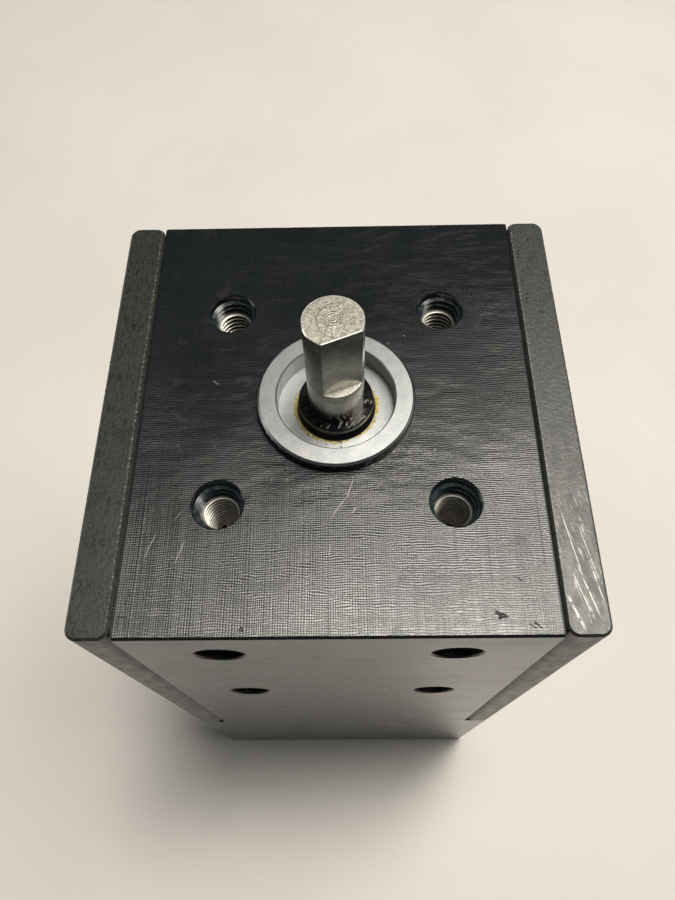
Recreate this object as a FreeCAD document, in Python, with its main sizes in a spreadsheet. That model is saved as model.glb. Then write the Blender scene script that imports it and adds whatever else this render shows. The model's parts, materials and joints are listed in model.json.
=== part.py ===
import FreeCAD, Part
import math
import os
from types import SimpleNamespace

import Sketcher

# An enclosed Oldham coupling unit. A motor's shaft enters from below and is clamped in the lower hub.
# The Oldham disc passes the turning on to the upper hub, and so to the output shaft, which runs in two
# ball bearings and leaves the top of the housing.
# Origin: centre of the base. +Z is the shaft's axis, and -Y is the front face with four threaded holes.

Vector = FreeCAD.Vector
Rotation = FreeCAD.Rotation
X_AXIS = Vector(1, 0, 0)
Y_AXIS = Vector(0, 1, 0)
Z_AXIS = Vector(0, 0, 1)

DIMENSIONS = {
    # housing
    "housing_width": 60.0,
    "housing_height": 120.0,
    "lower_height": 42.0,
    "block_width": 50.0,
    "edge_round": 0.5,
    "edge_break": 0.3,
    "plate_corner": 1.4,
    "window_width": 26.0,
    "window_bottom": 62.0,
    "window_top": 104.0,
    "window_corner": 5.0,
    # the four-hole patterns in the top and front faces, with their M5 thread inserts
    "pattern_pitch": 28.28,
    "front_pattern_drop": 22.5,
    "insert_hole_radius": 3.02,
    "insert_bore_radius": 2.1,
    "top_insert_length": 10.0,
    "front_insert_length": 7.5,
    "insert_depth": 2.4,
    "top_hole_depth": 13.0,
    "front_hole_depth": 10.5,
    "mouth_chamfer": 0.2,
    # pilot ring
    "ring_radius": 10.0,
    "ring_rise": 1.5,
    "ring_chamfer": 0.35,
    "ring_bore_radius": 7.5,
    "ring_recess": 3.0,
    "ring_floor": 1.0,
    "ring_opening_radius": 3.9,
    "ring_spigot": 3.0,
    # wiper seal
    "seal_radius": 4.75,
    "seal_rise": 0.6,
    "seal_lip_radius": 5.05,
    "seal_lip_height": 0.9,
    "seal_running_gap": 0.03,
    "seal_seat_radius": 3.7,
    # output shaft
    "shaft_radius": 3.5,
    "shaft_rise": 16.5,
    "shaft_chamfer": 0.1,
    "journal_chamfer": 0.2,
    "journal_radius": 4.0,
    "shaft_middle_radius": 5.0,
    "flat_distance": 2.5,
    "flat_length": 10.0,
    "flat_angle": -68.0,
    "stub_engagement": 12.0,
    # ball bearings, 8 x 19 x 6
    "bearing_radius": 9.5,
    "bearing_width": 6.0,
    "bearing_edge": 0.3,
    "pitch_radius": 6.75,
    "ball_radius": 1.5,
    "ball_gap": 0.05,
    "inner_shoulder_radius": 5.75,
    "outer_shoulder_radius": 7.75,
    "cage_half_height": 2.0,
    "cage_wall": 1.3,
    "shield_thickness": 0.25,
    "shield_gap": 0.1,
    "shoulder_hole_radius": 8.0,
    # parts under the lower bearing
    "lower_bearing_height": 47.0,
    "washer_space": 1.7,
    "washer_rise": 1.5,
    "washer_thickness": 0.4,
    "circlip_thickness": 1.0,
    "circlip_groove_radius": 10.0,
    "circlip_inner_radius": 8.2,
    "circlip_lug_radius": 1.4,
    "circlip_eye_radius": 0.7,
    "circlip_opening": 34.0,
    "circlip_lug_angle": 6.0,
    # Oldham coupling
    "hub_radius": 12.5,
    "hub_length": 13.0,
    "tongue_width": 7.0,
    "tongue_height": 2.3,
    "tongue_gap_radius": 5.0,
    "slot_width": 7.06,
    "slot_depth": 2.5,
    "disc_thickness": 7.8,
    "disc_hole_radius": 5.0,
    "disc_gap": 0.1,
    "lower_hub_height": 5.0,
    "motor_bore_radius": 3.175,
    "slit_width": 1.0,
    "slit_floor": 2.5,
    "relief_height": 1.0,
    "clamp_offset": 8.0,
    "clamp_height": 8.2,
    "clamp_seat": 3.4,
    "clamp_thread_radius": 1.5,
    "clamp_clearance_radius": 1.65,
    "clamp_head_radius": 2.75,
    "clamp_head_height": 2.8,
    "clamp_screw_length": 9.4,
    "clamp_counterbore_radius": 3.0,
    # coupling housing
    "chamber_radius": 17.0,
    "pilot_radius": 19.06,
    "pilot_depth": 3.0,
    "motor_pitch": 47.14,
    "motor_thread_radius": 2.1,
    "motor_thread_depth": 14.0,
    "access_radius": 4.0,
    "access_head_radius": 5.0,
    "access_head_height": 1.5,
    "access_stem": 8.0,
    # fasteners
    "m4_radius": 2.0,
    "m4_clearance_radius": 2.2,
    "m4_head_radius": 3.5,
    "m4_head_height": 4.0,
    "m4_counterbore_radius": 3.6,
    "plate_screw_head_radius": 4.0,
    "plate_screw_length": 10.0,
    "plate_screw_inset": 8.0,
    "plate_screw_rise": 6.0,
    "plate_thread_depth": 5.5,
    "housing_screw_x": 17.0,
    "housing_screw_y": 25.0,
    "housing_screw_seat": 30.0,
    "housing_screw_length": 20.0,
    "socket_m3_width": 2.5,
    "socket_m4_width": 3.0,
    "socket_depth": 1.6,
    "dowel_radius": 2.0,
    "dowel_half_length": 6.0,
    "dowel_x": 20.0,
    "dowel_y": 12.0,
}

BALL_COUNT = 7
PLATE_SCREW_ROWS = 3
REACH = 200.0            # longer than the whole housing, for cuts that go right through


class Size:
    """A length from the sheet: the expression that FreeCAD keeps, and its value for a first drawing."""

    def __init__(self, text, value):
        self.text = text
        self.value = value

    @staticmethod
    def wrap(other):
        return other if isinstance(other, Size) else Size(repr(float(other)), float(other))

    def __add__(self, other):
        other = Size.wrap(other)
        return Size(f"({self.text} + {other.text})", self.value + other.value)

    def __sub__(self, other):
        other = Size.wrap(other)
        return Size(f"({self.text} - {other.text})", self.value - other.value)

    def __mul__(self, factor):
        return Size(f"({self.text} * {float(factor)!r})", self.value * factor)

    def __truediv__(self, divisor):
        return self * (1.0 / divisor)

    def __neg__(self):
        return self * -1.0


document = FreeCAD.newDocument("OldhamCouplingUnit")
sheet = document.addObject("Spreadsheet::Sheet", "Sizes")
for row, (name, number) in enumerate(DIMENSIONS.items(), start=1):
    sheet.set(f"A{row}", name)
    sheet.set(f"B{row}", str(number))
    sheet.setAlias(f"B{row}", name)
document.recompute()

size = SimpleNamespace(**{name: Size(f"Sizes.{name}", float(sheet.get(name))) for name in DIMENSIONS})
nothing = Size("0", 0.0)
nodes = []

# heights and widths that follow from the driving ones
half_width = size.housing_width / 2
half_block = size.block_width / 2
top_face = size.housing_height
half_pitch = size.pattern_pitch / 2
front_pattern_height = top_face - size.front_pattern_drop
upper_bearing_height = top_face - size.ring_spigot - size.bearing_width
lower_bearing_top = size.lower_bearing_height + size.bearing_width
circlip_top = size.lower_bearing_height - size.washer_space
lower_hub_top = size.lower_hub_height + size.hub_length
upper_hub_bottom = lower_hub_top + size.disc_gap * 2 + size.disc_thickness
plate_middle = (top_face + size.lower_height) / 2
plate_screw_y = half_width - size.plate_screw_inset
plate_screw_spacing = (top_face - size.lower_height) / 2 - size.plate_screw_rise


# ---------------------------------------------------------------- bodies, sketches and features

def new_body(label, height=None, export=True):
    """An empty body, raised to its height in the frame."""
    body = document.addObject("PartDesign::Body", label)
    body.Label = label
    if height is not None:
        body.setExpression("Placement.Base.z", height.text)
    if export:
        nodes.append(body)
    return body


def new_sketch(body, role, offset=nothing):
    """A sketch on one of the body's own planes, moved along the plane's normal."""
    sketch = body.newObject("Sketcher::SketchObject", body.Name + "Sketch")
    plane = next(item for item in body.Origin.OriginFeatures if item.Role == role)
    sketch.AttachmentSupport = [(plane, "")]
    sketch.MapMode = "FlatFace"
    if offset is not nothing:
        sketch.setExpression("AttachmentOffset.Base.z", offset.text)
    return sketch


def hold_point(sketch, geometry, point, across, up):
    """Dimensions one point of a sketch from the sketch's origin."""
    for kind, distance, axis in (("DistanceX", across, -2), ("DistanceY", up, -1)):
        if distance is nothing:
            sketch.addConstraint(Sketcher.Constraint("PointOnObject", geometry, point, axis))
            continue
        index = sketch.addConstraint(Sketcher.Constraint(kind, -1, 1, geometry, point, distance.value))
        sketch.setExpression(f"Constraints[{index}]", distance.text)


def draw_outline(sketch, points):
    """A closed outline of straight lines, with two dimensions on each corner."""
    first = sketch.GeometryCount
    corners = [Vector(across.value, up.value, 0) for across, up in points]
    for index, corner in enumerate(corners):
        sketch.addGeometry(Part.LineSegment(corner, corners[(index + 1) % len(corners)]), False)
    for index in range(len(corners)):
        following = first + (index + 1) % len(corners)
        sketch.addConstraint(Sketcher.Constraint("Coincident", first + index, 2, following, 1))
    for index, (across, up) in enumerate(points):
        hold_point(sketch, first + index, 1, across, up)


def draw_rectangle(sketch, left, right, bottom, top):
    draw_outline(sketch, [(left, bottom), (right, bottom), (right, top), (left, top)])


def draw_circle(sketch, across, up, radius):
    centre = Vector(across.value, up.value, 0)
    circle = sketch.addGeometry(Part.Circle(centre, Z_AXIS, radius.value), False)
    hold_point(sketch, circle, 3, across, up)
    index = sketch.addConstraint(Sketcher.Constraint("Radius", circle, radius.value))
    sketch.setExpression(f"Constraints[{index}]", radius.text)


def pad(body, sketch, length, both_ways=False):
    feature = body.newObject("PartDesign::Pad", body.Name + "Pad")
    feature.Profile = sketch
    feature.setExpression("Length", length.text)
    feature.Midplane = both_ways
    document.recompute()
    return feature


def pocket(body, sketch, depth, up_normal=False, both_ways=False):
    """Cuts a sketch into the body, against the plane's normal unless told otherwise."""
    before = body.Shape.Volume
    feature = body.newObject("PartDesign::Pocket", body.Name + "Pocket")
    feature.Profile = sketch
    feature.setExpression("Length", Size.wrap(depth).text)
    feature.Reversed = up_normal
    feature.Midplane = both_ways
    document.recompute()
    if body.Shape.Volume >= before - 1e-6:
        raise RuntimeError(f"a pocket in {body.Label} cuts nothing")
    return feature


def drill(body, role, offset, centres, radius, depth, up_normal=False, both_ways=False):
    """Round holes of one size, at the given places on a plane."""
    sketch = new_sketch(body, role, offset)
    for across, up in centres:
        draw_circle(sketch, across, up, radius)
    return pocket(body, sketch, depth, up_normal, both_ways)


def turn(body, points, cut=False):
    """Turns a half profile, given as (radius, height) corners, right round the Z axis."""
    sketch = new_sketch(body, "XZ_Plane")
    draw_outline(sketch, points)
    kind = "Groove" if cut else "Revolution"
    before = body.Shape.Volume if cut else 0.0
    feature = body.newObject("PartDesign::" + kind, body.Name + kind)
    feature.Profile = sketch
    feature.ReferenceAxis = (sketch, ["V_Axis"])
    feature.Angle = 360.0
    document.recompute()
    if cut and body.Shape.Volume >= before - 1e-6:
        raise RuntimeError(f"a groove in {body.Label} cuts nothing")
    return feature


def ball_groove(body):
    """The round groove in a bearing race that the balls roll in."""
    sketch = new_sketch(body, "XZ_Plane")
    draw_circle(sketch, size.pitch_radius, size.bearing_width / 2, size.ball_radius + size.ball_gap)
    feature = body.newObject("PartDesign::Groove", body.Name + "BallGroove")
    feature.Profile = sketch
    feature.ReferenceAxis = (sketch, ["V_Axis"])
    feature.Angle = 360.0
    document.recompute()


def edges_where(feature, wanted):
    return [f"Edge{index}" for index, edge in enumerate(feature.Shape.Edges, start=1) if wanted(edge)]


def bevel(body, feature, amount, wanted):
    """A 45 degree chamfer on the wanted edges."""
    chamfer = body.newObject("PartDesign::Chamfer", body.Name + "Chamfer")
    chamfer.Base = (feature, edges_where(feature, wanted))
    chamfer.setExpression("Size", amount.text)
    document.recompute()
    return chamfer


def round_over(body, feature, radius, wanted):
    fillet = body.newObject("PartDesign::Fillet", body.Name + "Fillet")
    fillet.Base = (feature, edges_where(feature, wanted))
    fillet.setExpression("Radius", radius.text)
    document.recompute()
    return fillet


def flat_at(edge, axis, distance, slack=1e-4):
    """True where a whole edge lies in the plane at this distance along an axis (0, 1 or 2)."""
    middle = edge.valueAt((edge.FirstParameter + edge.LastParameter) / 2)
    places = [vertex.Point[axis] for vertex in edge.Vertexes] + [middle[axis]]
    return all(abs(place - distance) < slack for place in places)


def is_circle(edge, radius, slack=1e-4):
    return isinstance(edge.Curve, Part.Circle) and abs(edge.Curve.Radius - radius.value) < slack


def runs_along(edge, axis):
    if not isinstance(edge.Curve, Part.Line):
        return False
    return abs(abs(edge.Curve.Direction[axis]) - 1.0) < 1e-6


def corner_places(half_across, half_up, middle_up=nothing):
    """The four corners of a rectangular hole pattern."""
    ups = (half_up, -half_up) if middle_up is nothing else (middle_up + half_up, middle_up - half_up)
    return [(across, up) for across in (half_across, -half_across) for up in ups]


def group(label, shape, placements):
    """Identical pieces that share one node, as separate solids."""
    node = document.addObject("Part::Feature", label)
    node.Label = label
    node.Shape = Part.makeCompound([shape.transformed(place.toMatrix(), True) for place in placements])
    nodes.append(node)
    return node


# ---------------------------------------------------------------- fasteners

def cut_hex_socket(body, width, height):
    """A hexagonal key socket, sunk from the given height."""
    corner_radius = width / math.sqrt(3)
    sketch = new_sketch(body, "XY_Plane", height)
    corners = []
    for step in range(6):
        angle = math.radians(30 + 60 * step)
        across = corner_radius * math.cos(angle)
        up = corner_radius * math.sin(angle)
        corners.append((nothing if abs(across.value) < 1e-9 else across, up))
    draw_outline(sketch, corners)
    pocket(body, sketch, size.socket_depth)


def cap_screw(label, radius, length, head_radius, head_height, socket_width, export=False):
    """Socket cap screw: the head sits above its own z = 0, the thread hangs below."""
    body = new_body(label, export=export)
    turn(body, [(nothing, -length), (radius, -length), (radius, nothing), (head_radius, nothing),
                (head_radius, head_height), (nothing, head_height)])
    cut_hex_socket(body, socket_width, head_height)
    return body


def countersunk_screw(label, radius, length, head_radius, socket_width):
    """Countersunk screw: its flat top is at its own z = 0."""
    body = new_body(label, export=False)
    turn(body, [(nothing, -length), (radius, -length), (radius, radius - head_radius),
                (head_radius, nothing), (nothing, nothing)])
    cut_hex_socket(body, socket_width, nothing)
    return body


# ---------------------------------------------------------------- housing

def make_bearing_block():
    body = new_body("bearing_block")
    sketch = new_sketch(body, "XY_Plane", size.lower_height)
    draw_rectangle(sketch, -half_block, half_block, -half_width, half_width)
    pad(body, sketch, top_face - size.lower_height)

    # the window between the bearings, open to both side plates
    sketch = new_sketch(body, "YZ_Plane")
    half_window = size.window_width / 2
    draw_rectangle(sketch, -half_window, half_window, size.window_bottom, size.window_top)
    window = pocket(body, sketch, REACH, both_ways=True)
    window = round_over(body, window, size.window_corner,
                        lambda edge: runs_along(edge, 0) and abs(edge.CenterOfMass.y) < half_window.value + 1
                        and size.window_bottom.value - 1 < edge.CenterOfMass.z < size.window_top.value + 1)

    # seats for both bearings, the hole between them, and the circlip's groove
    seat = size.bearing_radius
    hole = size.shoulder_hole_radius
    groove_bottom = circlip_top - size.circlip_thickness
    turn(body, [(nothing, size.lower_height), (seat, size.lower_height), (seat, groove_bottom),
                (size.circlip_groove_radius, groove_bottom), (size.circlip_groove_radius, circlip_top),
                (seat, circlip_top), (seat, lower_bearing_top), (hole, lower_bearing_top),
                (hole, upper_bearing_height), (seat, upper_bearing_height), (seat, top_face),
                (nothing, top_face)], cut=True)

    # threads in the top, the front, both sides and underneath
    drill(body, "XY_Plane", top_face, corner_places(half_pitch, half_pitch),
          size.insert_hole_radius, size.top_hole_depth)
    drill(body, "XZ_Plane", half_width, corner_places(half_pitch, half_pitch, front_pattern_height),
          size.insert_hole_radius, size.front_hole_depth)
    for offset, inward in ((half_block, False), (-half_block, True)):
        drill(body, "YZ_Plane", offset, plate_screw_places(), size.m4_radius, size.plate_thread_depth,
              up_normal=inward)
    drill(body, "XY_Plane", size.lower_height, corner_places(size.housing_screw_x, size.housing_screw_y),
          size.m4_radius, housing_thread_reach() + 1, up_normal=True)
    holes = drill(body, "XY_Plane", size.lower_height, dowel_places(), size.dowel_radius,
                  size.dowel_half_length, up_normal=True)

    # worn round side edges on top, broken front and rear edges, and small chamfers in the hole mouths
    top = top_face.value
    mouths = bevel(body, holes, size.mouth_chamfer,
                   lambda edge: is_circle(edge, size.insert_hole_radius)
                   and (flat_at(edge, 2, top) or flat_at(edge, 1, -half_width.value)))
    rounded = round_over(body, mouths, size.edge_round,
                         lambda edge: runs_along(edge, 1) and flat_at(edge, 2, top))
    bevel(body, rounded, size.edge_break,
          lambda edge: runs_along(edge, 0) and flat_at(edge, 2, top)
          and abs(abs(edge.CenterOfMass.y) - half_width.value) < 1e-4)


def plate_screw_places():
    """Where the side plate screws go, as (y, z)."""
    rows = [plate_middle + plate_screw_spacing * (row - (PLATE_SCREW_ROWS - 1) / 2)
            for row in range(PLATE_SCREW_ROWS)]
    return [(side, height) for side in (plate_screw_y, -plate_screw_y) for height in rows]


def housing_thread_reach():
    """How far the housing screws reach into the block."""
    return size.housing_screw_seat + size.housing_screw_length - size.lower_height


def dowel_places():
    return [(-size.dowel_x, size.dowel_y), (size.dowel_x, -size.dowel_y)]


def make_side_plate(label, angle):
    """A cover plate with rounded upright edges, drawn on the +X side and turned to its own side."""
    body = new_body(label)
    sketch = new_sketch(body, "XY_Plane", size.lower_height)
    draw_rectangle(sketch, half_block, half_width, -half_width, half_width)
    plate = pad(body, sketch, top_face - size.lower_height)
    plate = round_over(body, plate, size.plate_corner, lambda edge: runs_along(edge, 2))
    ends = (top_face.value, size.lower_height.value)
    plate = bevel(body, plate, size.edge_break,
                  lambda edge: any(flat_at(edge, 2, end) for end in ends))
    plate = drill(body, "YZ_Plane", half_width, plate_screw_places(), size.m4_clearance_radius, REACH)
    sink = size.plate_screw_head_radius - size.m4_clearance_radius + 0.1
    bevel(body, plate, sink,
          lambda edge: is_circle(edge, size.m4_clearance_radius) and flat_at(edge, 0, half_width.value))
    body.Placement = FreeCAD.Placement(Vector(), Rotation(Z_AXIS, angle))


def make_coupling_housing():
    """The full-width lower section round the Oldham coupling, with the motor's seat underneath."""
    body = new_body("coupling_housing")
    sketch = new_sketch(body, "XY_Plane")
    draw_rectangle(sketch, -half_width, half_width, -half_width, half_width)
    pad(body, sketch, size.lower_height)
    turn(body, [(nothing, nothing), (size.pilot_radius, nothing), (size.pilot_radius, size.pilot_depth),
                (size.chamber_radius, size.pilot_depth), (size.chamber_radius, size.lower_height),
                (nothing, size.lower_height)], cut=True)

    # motor threads, and stepped holes for the screws up into the block
    half_motor = size.motor_pitch / 2
    drill(body, "XY_Plane", nothing, corner_places(half_motor, half_motor), size.motor_thread_radius,
          size.motor_thread_depth, up_normal=True)
    screws = corner_places(size.housing_screw_x, size.housing_screw_y)
    drill(body, "XY_Plane", nothing, screws, size.m4_clearance_radius, size.lower_height, up_normal=True)
    drill(body, "XY_Plane", nothing, screws, size.m4_counterbore_radius, size.housing_screw_seat,
          up_normal=True)
    drill(body, "XY_Plane", size.lower_height, dowel_places(), size.dowel_radius, size.dowel_half_length)

    # two stepped openings in the rear, each in line with a hub's clamp screw
    rear = -half_width
    drill(body, "XZ_Plane", rear, access_places(), size.access_radius, half_width, up_normal=True)
    holes = drill(body, "XZ_Plane", rear, access_places(), size.access_head_radius,
                  size.access_head_height, up_normal=True)
    rounded = round_over(body, holes, size.plate_corner,
                         lambda edge: isinstance(edge.Curve, Part.Line) and runs_along(edge, 2)
                         and abs(abs(edge.CenterOfMass.x) - half_width.value) < 1e-4)
    bevel(body, rounded, size.edge_break,
          lambda edge: isinstance(edge.Curve, Part.Line) and flat_at(edge, 2, 0.0))


def access_places():
    """Where the clamp screws pass behind the rear wall, as (x, z)."""
    lower = lower_hub_top - size.clamp_height
    upper = upper_hub_bottom + size.clamp_height
    return [(size.clamp_offset, lower), (size.clamp_offset, upper)]


def make_access_plugs():
    """Push-in plugs, flush with the rear face."""
    body = new_body("access_plug_shape", export=False)
    turn(body, [(nothing, -size.access_stem), (size.access_radius, -size.access_stem),
                (size.access_radius, -size.access_head_height),
                (size.access_head_radius, -size.access_head_height),
                (size.access_head_radius, -size.edge_break),
                (size.access_head_radius - size.edge_break, nothing), (nothing, nothing)])
    outward = Rotation(X_AXIS, -90)
    group("access_plugs", body.Shape,
          [FreeCAD.Placement(Vector(across.value, half_width.value, up.value), outward)
           for across, up in access_places()])


def make_thread_inserts():
    """Wire thread inserts, shown here as plain sleeves at the thread's core size."""
    top_insert = insert_shape("top_insert_shape", size.top_insert_length)
    group("top_thread_inserts", top_insert,
          [FreeCAD.Placement(Vector(across.value, up.value, top_face.value), Rotation())
           for across, up in corner_places(half_pitch, half_pitch)])
    forward = Rotation(X_AXIS, 90)
    front_insert = insert_shape("front_insert_shape", size.front_insert_length)
    group("front_thread_inserts", front_insert,
          [FreeCAD.Placement(Vector(across.value, -half_width.value, up.value), forward)
           for across, up in corner_places(half_pitch, half_pitch, front_pattern_height)])


def insert_shape(label, length):
    body = new_body(label, export=False)
    top = -size.insert_depth
    turn(body, [(size.insert_bore_radius, top - length), (size.insert_hole_radius, top - length),
                (size.insert_hole_radius, top), (size.insert_bore_radius, top)])
    return body.Shape


def make_housing_fasteners():
    screw = countersunk_screw("plate_screw_shape", size.m4_radius, size.plate_screw_length,
                              size.plate_screw_head_radius, size.socket_m3_width)
    sunk = 0.1
    places = []
    for side in (1, -1):
        outward = Rotation(Y_AXIS, 90 * side)
        level = side * (half_width.value - sunk)
        places += [FreeCAD.Placement(Vector(level, across.value, up.value), outward)
                   for across, up in plate_screw_places()]
    group("side_plate_screws", screw.Shape, places)

    screw = cap_screw("housing_screw_shape", size.m4_radius, size.housing_screw_length, size.m4_head_radius,
                      size.m4_head_height, size.socket_m4_width)
    head_down = Rotation(X_AXIS, 180)
    group("housing_screws", screw.Shape,
          [FreeCAD.Placement(Vector(across.value, up.value, size.housing_screw_seat.value), head_down)
           for across, up in corner_places(size.housing_screw_x, size.housing_screw_y)])

    dowel = new_body("dowel_shape", export=False)
    tip = size.edge_round
    rim = size.dowel_radius - tip / 2
    half = size.dowel_half_length
    turn(dowel, [(nothing, -half), (rim, -half), (size.dowel_radius, tip - half),
                 (size.dowel_radius, half - tip), (rim, half), (nothing, half)])
    group("housing_dowels", dowel.Shape,
          [FreeCAD.Placement(Vector(across.value, up.value, size.lower_height.value), Rotation())
           for across, up in dowel_places()])


# ---------------------------------------------------------------- output end

def make_pilot_ring():
    """A pressed-in ring: a raised rim, a recessed floor, and a spigot that holds the upper bearing."""
    body = new_body("pilot_ring", top_face)
    rise = size.ring_rise
    floor = rise - size.ring_recess
    rim = 0.15
    spigot_bore = size.outer_shoulder_radius + size.edge_break
    turn(body, [(size.ring_radius, nothing), (size.ring_radius, rise - size.ring_chamfer),
                (size.ring_radius - size.ring_chamfer, rise), (size.ring_bore_radius + rim, rise),
                (size.ring_bore_radius, rise - rim), (size.ring_bore_radius, floor),
                (size.ring_opening_radius, floor), (size.ring_opening_radius, floor - size.ring_floor),
                (spigot_bore, floor - size.ring_floor), (spigot_bore, -size.ring_spigot),
                (size.bearing_radius, -size.ring_spigot), (size.bearing_radius, nothing)])


def make_wiper_seal():
    """A rubber V-ring: its body grips the shaft and its lip runs just clear of the ring's floor."""
    body = new_body("wiper_seal", top_face)
    lip_bottom = size.ring_rise - size.ring_recess + size.seal_running_gap
    lip_top = lip_bottom + size.seal_lip_height
    bead = 0.15
    lip_wall = 0.3
    seat = size.seal_seat_radius
    slope = seat - size.shaft_radius
    turn(body, [(seat, lip_top), (size.seal_lip_radius - 2 * lip_wall, lip_bottom),
                (size.seal_lip_radius, lip_bottom), (size.seal_radius - lip_wall, lip_top),
                (size.seal_radius, lip_top + lip_wall), (size.seal_radius, size.seal_rise - bead),
                (size.seal_radius - bead, size.seal_rise), (size.shaft_radius, size.seal_rise),
                (seat, size.seal_rise - slope)])


def make_output_shaft():
    body = new_body("output_shaft")
    end = top_face + size.shaft_rise
    tip_bevel = size.shaft_chamfer
    journal_bevel = size.journal_chamfer
    stub_end = upper_hub_bottom + size.hub_length - size.stub_engagement
    step_down = upper_bearing_height + size.bearing_width + journal_bevel
    seat_end = top_face + size.seal_rise
    slope = size.seal_seat_radius - size.shaft_radius
    flat_end = end - size.flat_length
    shaft = turn(body, [(nothing, stub_end), (size.journal_radius - journal_bevel, stub_end),
                        (size.journal_radius, stub_end + journal_bevel),
                        (size.journal_radius, lower_bearing_top),
                        (size.shaft_middle_radius, lower_bearing_top),
                        (size.shaft_middle_radius, upper_bearing_height),
                        (size.journal_radius, upper_bearing_height), (size.journal_radius, step_down),
                        (size.seal_seat_radius, step_down), (size.seal_seat_radius, seat_end - slope),
                        (size.shaft_radius, seat_end), (size.shaft_radius, flat_end),
                        (size.shaft_radius, end - tip_bevel), (size.shaft_radius - tip_bevel, end),
                        (nothing, end)])
    # the drive flat, milled square to +X and then turned with the whole shaft
    sketch = new_sketch(body, "XY_Plane", end)
    draw_rectangle(sketch, size.flat_distance, size.shaft_radius + 1, -(size.shaft_radius + 1),
                   size.shaft_radius + 1)
    flat = pocket(body, sketch, size.flat_length)
    # the round stretch and the flatted stretch stay separate faces, so that each can be found by itself
    shaft.Refine = False
    flat.Refine = False
    body.Placement = FreeCAD.Placement(Vector(), Rotation(Z_AXIS, size.flat_angle.value))


# ---------------------------------------------------------------- bearings

def make_bearing(prefix, height):
    """A shielded ball bearing: two races, balls, cage and shields, standing on the given height."""
    width = size.bearing_width
    edge = size.bearing_edge

    outer = new_body(prefix + "_outer_race", height)
    turn(outer, [(size.outer_shoulder_radius, nothing), (size.bearing_radius - edge, nothing),
                 (size.bearing_radius, edge), (size.bearing_radius, width - edge),
                 (size.bearing_radius - edge, width), (size.outer_shoulder_radius, width)])
    ball_groove(outer)

    inner = new_body(prefix + "_inner_race", height)
    turn(inner, [(size.journal_radius, nothing), (size.inner_shoulder_radius, nothing),
                 (size.inner_shoulder_radius, width), (size.journal_radius, width)])
    ball_groove(inner)

    middle = (height + width / 2).value
    pitch = size.pitch_radius.value
    around = [FreeCAD.Placement(Rotation(Z_AXIS, 360.0 * step / BALL_COUNT).multVec(Vector(pitch, 0, middle)),
                                Rotation()) for step in range(BALL_COUNT)]
    group(prefix + "_balls", Part.makeSphere(size.ball_radius.value), around)

    cage = new_body(prefix + "_cage_ring", height + width / 2, export=False)
    half_wall = size.cage_wall / 2
    reach = size.cage_half_height
    turn(cage, [(size.pitch_radius - half_wall, -reach), (size.pitch_radius + half_wall, -reach),
                (size.pitch_radius + half_wall, reach), (size.pitch_radius - half_wall, reach)])
    pocket_radius = size.ball_radius.value + size.ball_gap.value * 2
    centre = Vector(0, 0, middle)
    seats = [Part.makeCylinder(pocket_radius, 2 * pitch, centre, place.Base - centre) for place in around]
    node = document.addObject("Part::Feature", prefix + "_cage")
    node.Label = prefix + "_cage"
    node.Shape = cage.Shape.cut(seats)
    nodes.append(node)

    shield = new_body(prefix + "_shield_shape", export=False)
    shield_edge = size.inner_shoulder_radius + size.shield_gap
    turn(shield, [(shield_edge, nothing), (size.outer_shoulder_radius, nothing),
                  (size.outer_shoulder_radius, size.shield_thickness), (shield_edge, size.shield_thickness)])
    inset = size.shield_thickness.value
    levels = (height.value + inset, (height + width).value - 2 * inset)
    group(prefix + "_shields", shield.Shape,
          [FreeCAD.Placement(Vector(0, 0, level), Rotation()) for level in levels])


def make_preload_washer():
    """A spring washer bent about one axis: a flat ring's plan on a shallow cylinder."""
    outer = size.bearing_radius.value - 0.1
    inner = size.circlip_inner_radius.value
    thickness = size.washer_thickness.value
    bend = size.washer_rise.value - thickness
    bend_radius = (outer ** 2 + bend ** 2) / (2 * bend)
    floor = circlip_top.value + (size.washer_space.value - size.washer_rise.value) / 2
    centre = Vector(-REACH / 2, 0, floor + bend - bend_radius)
    sheet_metal = Part.makeCylinder(bend_radius + thickness, REACH, centre, X_AXIS).cut(
        Part.makeCylinder(bend_radius, REACH, centre, X_AXIS))
    foot = Vector(0, 0, floor - 1)
    height = size.washer_rise.value + 2
    ring = Part.makeCylinder(outer, height, foot).cut(Part.makeCylinder(inner, height, foot))
    node = document.addObject("Part::Feature", "preload_washer")
    node.Label = "preload_washer"
    node.Shape = ring.common(sheet_metal)
    nodes.append(node)


def make_bearing_circlip():
    """An internal circlip, open at one side, with an eye in each end."""
    thickness = size.circlip_thickness.value
    foot = Vector(0, 0, circlip_top.value - thickness)
    inner = size.circlip_inner_radius.value
    ring = Part.makeCylinder(size.circlip_groove_radius.value, thickness, foot).cut(
        Part.makeCylinder(inner, thickness, foot))
    half_opening = size.circlip_opening.value / 2
    gap = Part.makeCylinder(size.circlip_groove_radius.value + 1, thickness, foot, Z_AXIS,
                            2 * half_opening)
    gap.rotate(Vector(), Z_AXIS, -half_opening)
    ring = ring.cut(gap)
    for side in (1, -1):
        angle = side * (half_opening + size.circlip_lug_angle.value)
        eye_centre = Rotation(Z_AXIS, angle).multVec(Vector(inner, 0, 0)) + foot
        ring = ring.fuse(Part.makeCylinder(size.circlip_lug_radius.value, thickness, eye_centre))
        ring = ring.cut(Part.makeCylinder(size.circlip_eye_radius.value, thickness, eye_centre))
    node = document.addObject("Part::Feature", "bearing_circlip")
    node.Label = "bearing_circlip"
    node.Shape = ring.removeSplitter()
    nodes.append(node)


# ---------------------------------------------------------------- Oldham coupling

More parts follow.
